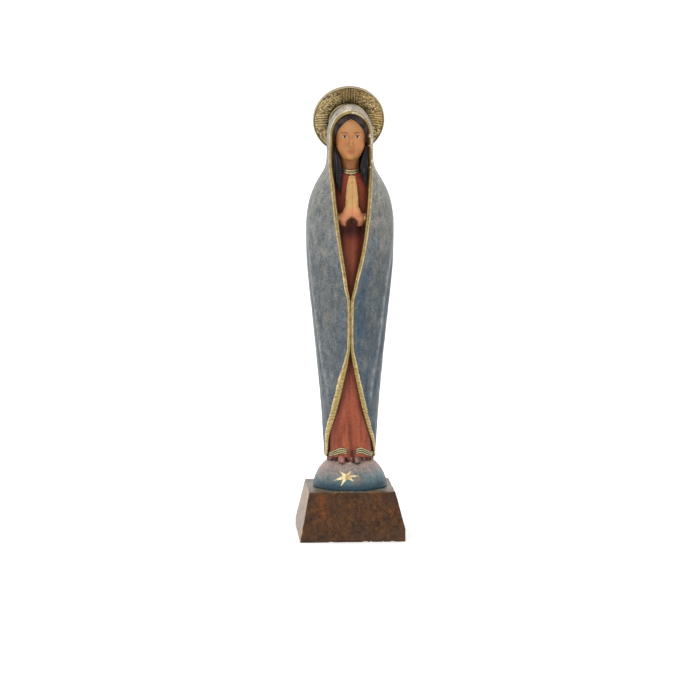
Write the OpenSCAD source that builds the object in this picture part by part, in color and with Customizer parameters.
// Small carved and painted Madonna statuette on a wooden plinth, with a gilt halo.
// The origin is the centre of the plinth's underside, +Z is up and the figure faces -Y.

/* [Plinth] */
// Width and depth of the plinth at its foot
plinth_w = 16.2; // [15:0.1:20]
// Width and depth of the plinth's top face
plinth_top_w = 13.2; // [12.2:0.1:14.5]
// Height of the plinth
plinth_h = 7.6; // [6.5:0.1:10]
// Height of the upright band at the plinth's foot
plinth_band_h = 1.9; // [1:0.1:3]

/* [Figure] */
// Height from the plinth's top face to the top of the halo
figure_h = 62.4; // [54:0.1:72]
// Wall of the mantle
mantle_wall = 0.6; // [0.5:0.05:0.7]
// Radius of the gilt bead along the mantle's edge
bead_r = 0.3; // [0.25:0.01:0.32]

/* [Globe] */
// Radius of the globe that the figure stands on
globe_r = 5.87; // [5.6:0.01:6.1]
// Depth of the globe's centre below the plinth's top face
globe_sink = 0.48; // [0.3:0.01:0.8]
// Longest ray of the star on the globe
star_r = 2.1; // [1.5:0.1:2.4]

/* [Halo] */
// Outer radius of the halo
halo_r = 5.6; // [5:0.1:5.8]
// Forward lean of the halo, in degrees
halo_lean = 21.5; // [18:0.5:25]
// Thickness of the halo's plate
halo_plate = 0.5; // [0.4:0.05:0.6]

/* [Fastenings] */
// Diameter of the dowel that joins figure, globe and plinth
dowel_d = 2; // [1.6:0.1:2.2]
// Depth of the dowel in the plinth
dowel_in_plinth = 4.5; // [3:0.1:5]
// Diameter of the pin that holds the halo
pin_d = 0.7; // [0.6:0.05:0.8]

/* [Hidden] */

design_h = 62.4;             // the figure's height that the outlines below are drawn at
figure_scale = figure_h / design_h;
gap = 0.04;                  // glue line between neighbouring pieces
sky_blue = "steelblue";
robe_red = "indianred";
gilt = "goldenrod";
skin = "burlywood";
hair_brown = "saddlebrown";

// Outlines of the draped figure, as [height above the plinth, size] pairs.
half_width = [[4.8, 3.86], [8.4, 4.1], [12.4, 4.37], [16.9, 4.8], [21.9, 5.32], [26.9, 5.87],
    [30.9, 6.32], [34.8, 6.67], [38.8, 6.82], [41.7, 6.79], [43.7, 6.55], [45.8, 6.02],
    [47.75, 5.1], [49.7, 3.95], [51.3, 3.62], [54.55, 3.62]];
front_depth = [[4.8, 3.45], [12.4, 3.75], [21.9, 4.4], [32, 5.1], [38.8, 5.5], [42.3, 5.45],
    [45.8, 4.8], [48.7, 4], [51.3, 3.65], [54.55, 3.7]];
back_depth = [[4.8, 3.35], [12.4, 3.7], [21.9, 4.3], [32, 4.75], [38.8, 4.9], [43.8, 4.7],
    [47.75, 4.05], [50.7, 3.55], [54.55, 3.75]];
opening = [[4.8, 3.6], [7.4, 3.3], [9.7, 2.68], [12.6, 1.88], [15.5, 1.2], [18.3, 0.63],
    [20.6, 0.25], [22.2, 0.1], [29.2, 0.1], [30.4, 0.22], [31.3, 0.42], [32.7, 0.64],
    [34.1, 0.9], [36.8, 1.42], [40.3, 1.95], [44, 2.35], [47.1, 2.6], [50.5, 2.95],
    [54.55, 2.9]];
robe_front = [[4.8, 3.6], [12.4, 3.2], [22, 2.9], [39.7, 3.1], [43.6, 3], [46.55, 2.5],
    [49.15, 1.75]];
robe_width = [[4.8, 3.05], [9, 3.22], [12.4, 3.5], [21.9, 4.5], [34.9, 5.7], [41.5, 5.7],
    [45.6, 4.9], [47.55, 3.9], [48.55, 2.7], [49.15, 1.8]];

hood_z = 54.55;                // height of the hood's widest part, where its dome begins
hood_rise = 5;               // rise of the dome above it
face_rise = 3.6;             // rise of the arch over the face above hood_z
hem_z = 4.8;                 // lowest height of the mantle and robe
neck_top_z = 49.15;          // top of the robe, at the neckline

// ---- curves -------------------------------------------------------------------------------

// Smooth curve through [position, value] pairs, by cubic pieces with averaged slopes.
function slope(t, i) =
    i == 0 ? (t[1][1] - t[0][1]) / (t[1][0] - t[0][0])
    : i == len(t) - 1 ? (t[i][1] - t[i - 1][1]) / (t[i][0] - t[i - 1][0])
    : (t[i + 1][1] - t[i - 1][1]) / (t[i + 1][0] - t[i - 1][0]);
function span(t, x, i = 0) = i >= len(t) - 2 || x < t[i + 1][0] ? i : span(t, x, i + 1);
function curve(t, x) =
    let (c = min(max(x, t[0][0]), t[len(t) - 1][0]), i = span(t, c),
        d = t[i + 1][0] - t[i][0], u = (c - t[i][0]) / d)
    t[i][1] * (1 + 2 * u) * pow(1 - u, 2) + slope(t, i) * d * u * pow(1 - u, 2)
    + t[i + 1][1] * u * u * (3 - 2 * u) + slope(t, i + 1) * d * u * u * (u - 1);

// Half width, front depth and back depth of the drapery at height z, drawn in by inset.
// The hood's dome is round from the sides and the back, and fuller in front.
brow = 2.8;                  // fullness of the hood's front; 2 is round
function dome(z, inset, power) =
    z <= hood_z ? 1
    : pow(max(0, 1 - pow((z - hood_z) / (hood_rise - inset), power)), 1 / power);
function section(z, inset = 0) =
    [(curve(half_width, z) - inset) * dome(z, inset, 2),
        (curve(front_depth, z) - inset) * dome(z, inset, brow),
        (curve(back_depth, z) - inset) * dome(z, inset, 2)];
// Half width of the drapery at depth y and height z.
function side_at(y, z, inset = 0) =
    let (s = section(z, inset), depth = y < 0 ? s[1] : s[2])
    s[0] * sqrt(max(0, 1 - pow(y / max(depth, 0.001), 2)));

// A sheet of the drapery is described by its rim, [cover, grow, inset]: how far it reaches
// into the opening, how far its edge stands back along the surface, and how far it is drawn in.
// Its edge on the right runs from the hem (u = 0) to the arch over the face (u = 1). Each edge
// point is returned as [angle from the front, point].
arch_share = 0.8;            // share of u that is below the arch
arch_turn = 78;              // degrees of the arch that the rows reach
function row_z(u) = hem_z + (hood_z - hem_z) * u / arch_share;
function on_section(a, s, z) = [s[0] * sin(a), -(a < 90 ? s[1] : s[2]) * cos(a), z];
function angle_at(x, s, grow) =
    let (a = asin(min(1, x / s[0])))
    a + grow / norm([s[0] * cos(a), s[1] * sin(a)]) * 180 / PI;
function low_edge(u, rim) =
    let (z = row_z(u), a = angle_at(curve(opening, z) - rim[0], section(z), rim[1]))
    [a, on_section(a, section(z, rim[2]), z)];
function arch_rise(rim) = face_rise - rim[0] + rim[1];
function arch_edge(u, rim) =
    let (a = arch_turn * (u - arch_share) / (1 - arch_share),
        z = hood_z + arch_rise(rim) * sin(a), x = (curve(opening, hood_z) - rim[0]) * cos(a),
        b = angle_at(x, section(z), rim[1] * cos(a)))
    [b, on_section(b, section(z, rim[2]), z)];
function edge(u, rim) = u < arch_share ? low_edge(u, rim) : arch_edge(u, rim);
// Point on the middle line of the back, or over the head, that the edge at u is joined with.
function middle(u, rim) =
    let (top = hood_rise - rim[2], base = section(hood_z, rim[2]),
        full = 180 - asin(pow(min(1, arch_rise(rim) / top), brow / 2)),
        a = full * (u - arch_share) / (1 - arch_share), power = a < 90 ? 1 : 2 / brow)
    u < arch_share ? [0, section(row_z(u), rim[2])[2], row_z(u)]
        : [0, sign(cos(a)) * (a < 90 ? base[2] : base[1]) * pow(abs(cos(a)), power),
            hood_z + top * pow(sin(a), power)];
// Point of the sheet at u, and at v from -1 (left edge) over 0 (back) to 1 (right edge).
function drape(u, v, rim) =
    let (start = edge(u, rim), e = start[1], m = middle(u, rim), turn = 180 - start[0],
        k = 1 - (1 - cos(abs(v) * turn)) / (1 - cos(turn)),
        y = e[1] + k * (m[1] - e[1]), z = e[2] + k * (m[2] - e[2]),
        side = abs(v) >= 1 ? e[0] : side_at(y, z, rim[2]))
    [v == 0 ? 0 : sign(v) * side, y, z];

// ---- solids from grids of points ----------------------------------------------------------

function flat(rows) = [for (row = rows) each row];
function mean(points) = [for (k = [0:2]) [for (p = points) p[k]] * [for (p = points) 1]
    / len(points)];
function unit(v) = v / norm(v);

// Solid between closed rings of the same number of points, lowest ring first.
module ring_solid(rings) {
    m = len(rings[0]);
    n = len(rings);
    points = concat(flat(rings), [mean(rings[0]), mean(rings[n - 1])]);
    walls = [for (j = [0:n - 2], i = [0:m - 1])
        let (a = j * m + i, b = j * m + (i + 1) % m)
        each [[a, a + m, b + m], [a, b + m, b]]];
    floor_faces = [for (i = [0:m - 1]) [i, (i + 1) % m, n * m]];
    roof_faces = [for (i = [0:m - 1]) [(n - 1) * m + (i + 1) % m, (n - 1) * m + i, n * m + 1]];
    polyhedron(points, concat(walls, floor_faces, roof_faces), convexity = 6);
}

// Solid hoop between closed rings that run around it: outwards, up, inwards and down.
module hoop_solid(rings) {
    m = len(rings[0]);
    n = len(rings);
    faces = [for (j = [0:n - 1], i = [0:m - 1])
        let (a = j * m, c = (j + 1) % n * m, k = (i + 1) % m)
        each [[a + i, c + i, c + k], [a + i, c + k, a + k]]];
    polyhedron(flat(rings), faces, convexity = 6);
}

// Solid wall between an outer and an inner grid of points of the same size.
module wall_solid(outer, inner) {
    m = len(outer[0]);
    n = len(outer);
    half = m * n;
    function quad(a, b, c, d) = [[a, c, b], [a, d, c]];
    skins = [for (j = [0:n - 2], i = [0:m - 2]) let (a = j * m + i)
        each concat(quad(a, a + m, a + m + 1, a + 1),
            quad(half + a, half + a + 1, half + a + m + 1, half + a + m))];
    ends = [for (i = [0:m - 2]) let (b = (n - 1) * m + i)
        each concat(quad(i, i + 1, half + i + 1, half + i),
            quad(b, half + b, half + b + 1, b + 1))];
    sides = [for (j = [0:n - 2]) let (a = j * m, b = j * m + m - 1)
        each concat(quad(a, half + a, half + a + m, a + m),
            quad(b, b + m, half + b + m, half + b))];
    polyhedron(concat(flat(outer), flat(inner)), concat(skins, ends, sides), convexity = 10);
}

// Round tube along a path, with a radius at each point.
function across(path, i) =
    unit(path[min(i + 1, len(path) - 1)] - path[max(i - 1, 0)]);
module tube(path, radii, sides = 10) {
    ring_solid([for (i = [0:len(path) - 1])
        let (d = across(path, i), a = unit(cross(d, [0.1, 1, 0.2])), b = cross(d, a))
        [for (q = [0:sides - 1]) let (w = 360 * q / sides)
            path[i] + radii[i] * (cos(w) * a + sin(w) * b)]]);
}

module mirrored_x() { mirror([1, 0, 0]) children(); }
module in_figure() { translate([0, 0, plinth_h]) scale(figure_scale) children(); }
module globe_ball(grow = 0) {
    translate([0, 0, -globe_sink]) sphere(globe_r + grow, $fn = 96);
}

// ---- base ---------------------------------------------------------------------------------

function plinth_outline() = [[-plinth_w / 2, 0], [plinth_w / 2, 0],
    [plinth_w / 2, plinth_band_h], [plinth_top_w / 2, plinth_h], [-plinth_top_w / 2, plinth_h],
    [-plinth_w / 2, plinth_band_h]];

module plinth() {
    color("sienna") difference() {
        intersection() {
            translate([0, plinth_w / 2, 0]) rotate([90, 0, 0])
                linear_extrude(plinth_w) polygon(plinth_outline());
            translate([-plinth_w / 2, 0, 0]) rotate([90, 0, 90])
                linear_extrude(plinth_w) polygon(plinth_outline());
        }
        translate([0, 0, plinth_h - dowel_in_plinth - 0.2])
            cylinder(h = dowel_in_plinth + 1, d = dowel_d + 2 * gap, $fn = 48);
    }
}

module globe() {
    color("cadetblue") in_figure() difference() {
        intersection() {
            globe_ball();
            translate([-globe_r, -globe_r, 0]) cube([2 * globe_r, 2 * globe_r, globe_r]);
        }
        translate([0, 0, -1])
            cylinder(h = globe_r + 2, d = dowel_d / figure_scale + 2 * gap, $fn = 48);
    }
}

dowel_in_figure = 4;         // reach of the dowel above the globe
globe_top = globe_r - globe_sink;
module dowel() {
    length = dowel_in_plinth + (globe_top + dowel_in_figure) * figure_scale;
    color("tan") translate([0, 0, plinth_h - dowel_in_plinth])
        cylinder(h = length, d = dowel_d, $fn = 48);
}

// Rays of the painted star, as [direction in degrees, share of the longest ray].
star_rays = [[197, 1], [141, 0.62], [56, 0.5], [7, 0.84], [331, 0.5], [241, 0.78]];
star_place = [-10, 27];      // turn to the left and height on the globe, in degrees
module star() {
    n = len(star_rays);
    points = [for (i = [0:n - 1])
        let (a = star_rays[i], b = star_rays[(i + 1) % n],
            next = a[0] - b[0] < 0 ? b[0] - 360 : b[0])
        each [star_r * a[1] * [cos(a[0]), sin(a[0])],
            0.3 * star_r * [cos((a[0] + next) / 2), sin((a[0] + next) / 2)]]];
    color(gilt) in_figure() intersection() {
        difference() {
            translate([0, 0, -globe_sink]) rotate([90 - star_place[1], 0, star_place[0]])
                linear_extrude(globe_r + 2) polygon(points);
            globe_ball(0.01);
        }
        globe_ball(0.2);
    }
}

// ---- feet and skirt -----------------------------------------------------------------------

skirt_front = -3.68;         // depth of the underskirt's front, where the shoe tips begin
shoe_length = 1.2;           // half of the shoe's length and its greatest radius
shoe_r = 0.57;
module foot(x) {
    outline = [for (t = [-90:9:90]) [shoe_r * cos(t), shoe_length * sin(t)]];
    color(hair_brown) in_figure() difference() {
        translate([x, -3.4, 4.6]) rotate([125, 0, 0]) rotate_extrude($fn = 40)
            polygon(outline);
        globe_ball(0.02);
        translate([x - 2, skirt_front, 0]) cube([4, 6, 8]);
    }
}
module left_foot() { foot(-1.5); }
module right_foot() { foot(0.9); }

// Height of the globe's surface at a distance from the axis.
function globe_height(r) = sqrt(max(0, pow(globe_r, 2) - r * r)) - globe_sink;
// Half width and depth of the robe at height z; the flutes deepen towards the hem.
function robe_ring(z, inset = 0, sides = 48) =
    let (w = curve(robe_width, z) - inset, f = curve(robe_front, z) - inset,
        b = min(section(z, mantle_wall + gap)[2], 3.9) - inset,
        fade = max(0, (20 - z) / 20))
    [for (i = [0:sides - 1]) let (a = 360 * i / sides,
        flute = 1 + 0.03 * fade * cos(8 * a + 180))
        [w * flute * sin(a), (cos(a) > 0 ? -f : -b) * flute * cos(a), z]];

function on_globe(ring, lift) =
    [for (p = ring) [p[0], p[1], globe_height(norm([p[0], p[1]])) + lift]];
skirt_inner_r = 2.5;         // where the underskirt's underside ends under the robe
skirt_top_z = globe_height(skirt_inner_r) + 2 * gap;
robe_foot_z = skirt_top_z + gap;
skirt_steps = 4;             // points across the underskirt's underside
module underskirt() {
    ring = robe_ring(hem_z, gap);
    function drawn_in(share) = [for (p = ring) let (q = [p[0], p[1]])
        q + share * (skirt_inner_r * unit(q) - q)];
    function lid(points) = [for (p = points) [p[0], p[1], skirt_top_z]];
    under = [for (i = [skirt_steps:-1:0]) on_globe(drawn_in(i / skirt_steps), gap)];
    color("brown") in_figure() hoop_solid(concat(under, [lid(ring), lid(drawn_in(1))]));
}

module robe_body(inset = 0) {
    heights = [robe_foot_z, 6.4, 8.4, 11, 14, 18, 23, 28, 33, 38, 42, 45, 47, 48, 49,
        neck_top_z];
    ring_solid([for (z = heights) robe_ring(z, inset)]);
}
module robe() {
    color(robe_red) in_figure() difference() {
        robe_body();
        globe_ball(gap);
        cylinder(h = globe_top + dowel_in_figure + 0.2,
            d = dowel_d / figure_scale + 2 * gap, $fn = 48);
    }
}

// Gilt band on the right half of the robe's hem. It rises towards the middle.
hem_arc = [11, 66];          // degrees from the front that the band spans
hem_height = 1;
hem_lift = 0.35;             // rise of the band's inner end
module hem_right() {
    steps = 16;
    function along(i) = hem_arc[0] + (hem_arc[1] - hem_arc[0]) * i / steps;
    function lift(a) = hem_lift * cos(1.3 * (a - hem_arc[0]));
    function spot(a, z, out) = let (w = curve(robe_width, z) * 1.035 + out,
        f = curve(robe_front, z) * 1.035 + out) [w * sin(a), -f * cos(a), z];
    function skin_at(out) = [for (j = [0:3]) [for (i = [0:steps])
        spot(along(i), robe_foot_z + lift(along(i)) + hem_height * j / 3, out)]];
    color(gilt) in_figure() wall_solid(skin_at(0.03), skin_at(0.2));
}
module hem_left() { mirrored_x() hem_right(); }

// ---- mantle -------------------------------------------------------------------------------

mantle_rows = 36;
mantle_columns = 36;
fold_depth = 0.16;
// Soft upright folds, which fade out towards the shoulders.
function fold(u, v) =
    let (fade = u > 0.6 ? 0 : pow((0.6 - u) / 0.6, 0.7), side = abs(v))
    fold_depth * fade * (exp(-pow((side - 0.56) / 0.07, 2)) - exp(-pow((side - 0.42) / 0.08, 2))
        + exp(-pow((side - 0.26) / 0.08, 2)) - exp(-pow(side / 0.1, 2)));
module mantle() {
    grow = bead_r * 2 + 2 * gap;
    function grid(inset, folded) = [for (j = [0:mantle_rows]) [for (i = [0:mantle_columns])
        let (u = j / mantle_rows, v = 2 * i / mantle_columns - 1,
            p = drape(u, v, [0, grow, inset]), out = folded ? fold(u, v) : 0)
        p + out * unit([p[0], p[1], 0.001])]];
    color(sky_blue) in_figure() difference() {
        wall_solid(grid(0, true), grid(mantle_wall, false));
        halo_frame() pin_bore();
    }
}

// Gilt bead along the mantle's edge: each half runs from the hem to the top of the arch.
module border_right() {
    steps = 60;
    path = [for (i = [0:steps]) edge(i / steps, [0, bead_r, bead_r])[1]];
    top_z = hood_z + arch_rise([0, bead_r, bead_r]);
    top = [0.06, -section(top_z, bead_r)[1], top_z];
    near_top = (path[steps] + top) / 2 + [0, 0, 0.02];
    color(gilt) in_figure() tube(concat(path, [near_top, top]),
        [for (i = [0:steps + 2]) bead_r], 8);
}
module border_left() { mirrored_x() border_right(); }

// ---- head ---------------------------------------------------------------------------------

module head() {
    // Plain egg with a nose: the half width, front and back at each height.
    face = [[51.05, 0.75], [51.65, 1.35], [52.55, 1.85], [53.75, 2.2], [55.05, 2.3],
        [56.55, 2.05], [57.75, 1.3], [58.25, 0.6]];
    sides = 28;
    function nose(a, z) = 0.42 * exp(-pow((a > 180 ? a - 360 : a) / 10, 2))
        * exp(-pow((z - 53.25) / (z > 53.25 ? 1 : 0.35), 2));
    function ring(z) = let (r = curve(face, z)) [for (i = [0:sides - 1])
        let (a = 360 * i / sides, out = r + nose(a, z))
        [out * sin(a), -(out * 1.06 + (cos(a) > 0 ? 0.15 : 0)) * cos(a) - 0.25, z]];
    color(skin) in_figure() difference() {
        union() {
            ring_solid([for (z = [51.05, 51.35, 51.75, 52.25, 52.75, 53.15, 53.55, 54.15,
                54.95, 55.75, 56.55, 57.15, 57.75, 58.25]) ring(z)]);
            translate([0, 0, neck_top_z + gap])
                cylinder(h = 3.4, r = 1.2, $fn = 48);
        }
        halo_frame() pin_bore();
    }
}

hair_wall = 0.34;
hair_cover = 0.45;           // how far the hair reaches into the opening
module hair_cap() {
    rows = 12;
    columns = 26;
    foot = 0.742;            // share of the drapery's height where the cap starts
    function grid(inset) = [for (j = [0:rows]) [for (i = [0:columns])
        drape(foot + (1 - foot) * j / rows, 2 * i / columns - 1, [hair_cover, 0, inset])]];
    color(hair_brown) in_figure() difference() {
        wall_solid(grid(mantle_wall + gap), grid(mantle_wall + gap + hair_wall));
        halo_frame() pin_bore();
    }
}

// Locks of hair beside the neck, resting on the chest.
right_path = [[2.1, -1.75, 50.75], [2.05, -1.85, 49.75], [2, -2.1, 48.85],
    [2.05, -2.4, 47.95], [2.1, -2.6, 47.05]];
right_radii = [0.4, 0.5, 0.52, 0.4, 0.14];
left_path = [[-2.1, -1.75, 50.75], [-2.05, -1.85, 49.75], [-1.95, -2.15, 48.85],
    [-1.9, -2.5, 47.95], [-1.82, -2.85, 47.05], [-1.72, -3.05, 46.15]];
left_radii = [0.4, 0.52, 0.6, 0.58, 0.42, 0.14];
module right_lock() { color(hair_brown) in_figure() tube(right_path, right_radii); }
module left_lock() { color(hair_brown) in_figure() tube(left_path, left_radii); }

module collar() {
    color(gilt) in_figure() translate([0, 0, neck_top_z + gap]) rotate_extrude($fn = 64)
        translate([1.24, 0]) square([0.42, 0.42]);
}

// ---- hands and sleeves --------------------------------------------------------------------

hand_y = -4.45;              // depth of the hands' middle in front of the axis
module right_hand() {
    color(skin) in_figure() intersection() {
        union() {
            hull() {
                translate([0.32, hand_y + 0.35, 48.4]) sphere(0.3, $fn = 20);
                translate([0.5, hand_y + 0.3, 45.75]) sphere(0.44, $fn = 20);
                translate([0.45, hand_y - 0.35, 45.55]) sphere(0.4, $fn = 20);
            }
            hull() {
                translate([0.5, hand_y + 0.3, 45.75]) sphere(0.44, $fn = 20);
                translate([0.45, hand_y - 0.35, 45.55]) sphere(0.4, $fn = 20);
                translate([0.62, hand_y + 0.45, 43.6]) sphere(0.55, $fn = 20);
                translate([0.55, hand_y - 0.3, 43.8]) sphere(0.48, $fn = 20);
            }
            hull() {
                translate([0.62, hand_y + 0.45, 43.6]) sphere(0.55, $fn = 20);
                translate([1.25, hand_y + 0.62, 42.5]) sphere(0.52, $fn = 20);
            }
        }
        translate([0.02, -10, 40]) cube([5, 20, 12]);
    }
}
module left_hand() { mirrored_x() right_hand(); }

wrist = [1.25, hand_y + 0.62, 42.5];
forearm = unit([0.8, 0.28, -0.5]);      // direction from the wrist to the elbow
cuff_start = 0.62;                      // distance of the cuff beyond the wrist's centre
module along_forearm(distance) {
    tilt = acos(forearm[2]);
    turn = atan2(forearm[1], forearm[0]);
    translate(wrist + distance * forearm) rotate([0, tilt, turn]) children();
}
module right_cuff() {
    color(gilt) in_figure() along_forearm(cuff_start)
        rotate_extrude($fn = 48) translate([0.2, 0]) square([0.5, 0.2]);
}
module left_cuff() { mirrored_x() right_cuff(); }
module right_sleeve() {
    color(robe_red) in_figure() difference() {
        along_forearm(cuff_start + 0.2 + gap) cylinder(h = 1.3, r1 = 0.7, r2 = 0.95, $fn = 48);
        robe_body(-gap);
    }
}
module left_sleeve() { mirrored_x() right_sleeve(); }

// ---- halo ---------------------------------------------------------------------------------

halo_dish = 0.45;            // how far the rim stands forward of the middle
halo_spot = [0, 3.42, design_h - halo_r * cos(halo_lean)
    - (halo_plate - halo_dish) * sin(halo_lean)];
pin_reach = 2.2;             // reach of the pin forward of the halo
// Frame at the halo's centre whose Z points out of the back of the head, upwards.
module halo_frame() {
    translate(halo_spot) rotate([-(90 - halo_lean), 0, 0]) children();
}
module pin_bore() {
    translate([0, 0, -pin_reach - 0.1])
        cylinder(h = pin_reach + 2, d = pin_d + 2 * gap, $fn = 40);
}
module halo() {
    color(gilt) in_figure() halo_frame() rotate_extrude($fn = 96) difference() {
        union() {
            polygon([[0, 0], [3, 0], [halo_r - 0.3, -halo_dish], [halo_r, -halo_dish],
                [halo_r, halo_plate - halo_dish], [3, halo_plate], [0, halo_plate]]);
            translate([halo_r - 0.28, -halo_dish + 0.1]) circle(0.22, $fn = 24);
            translate([3.05, 0]) circle(0.12, $fn = 24);
        }
        translate([-1, -2]) square([pin_d / 2 + gap + 1, 4]);
    }
}
module halo_pin() {
    color("darkgoldenrod") in_figure() halo_frame() {
        translate([0, 0, -pin_reach])
            cylinder(h = pin_reach + halo_plate + gap + 0.1, d = pin_d, $fn = 40);
        translate([0, 0, halo_plate + gap]) cylinder(h = 0.3, d = 2 * pin_d, $fn = 40);
    }
}

// ---- one node at a time -------------------------------------------------------------------

plinth();
globe();
star();
dowel();
left_foot();
right_foot();
underskirt();
robe();
hem_left();
hem_right();
mantle();
border_left();
border_right();
head();
hair_cap();
left_lock();
right_lock();
collar();
left_hand();
right_hand();
left_sleeve();
right_sleeve();
left_cuff();
right_cuff();
halo();
halo_pin();
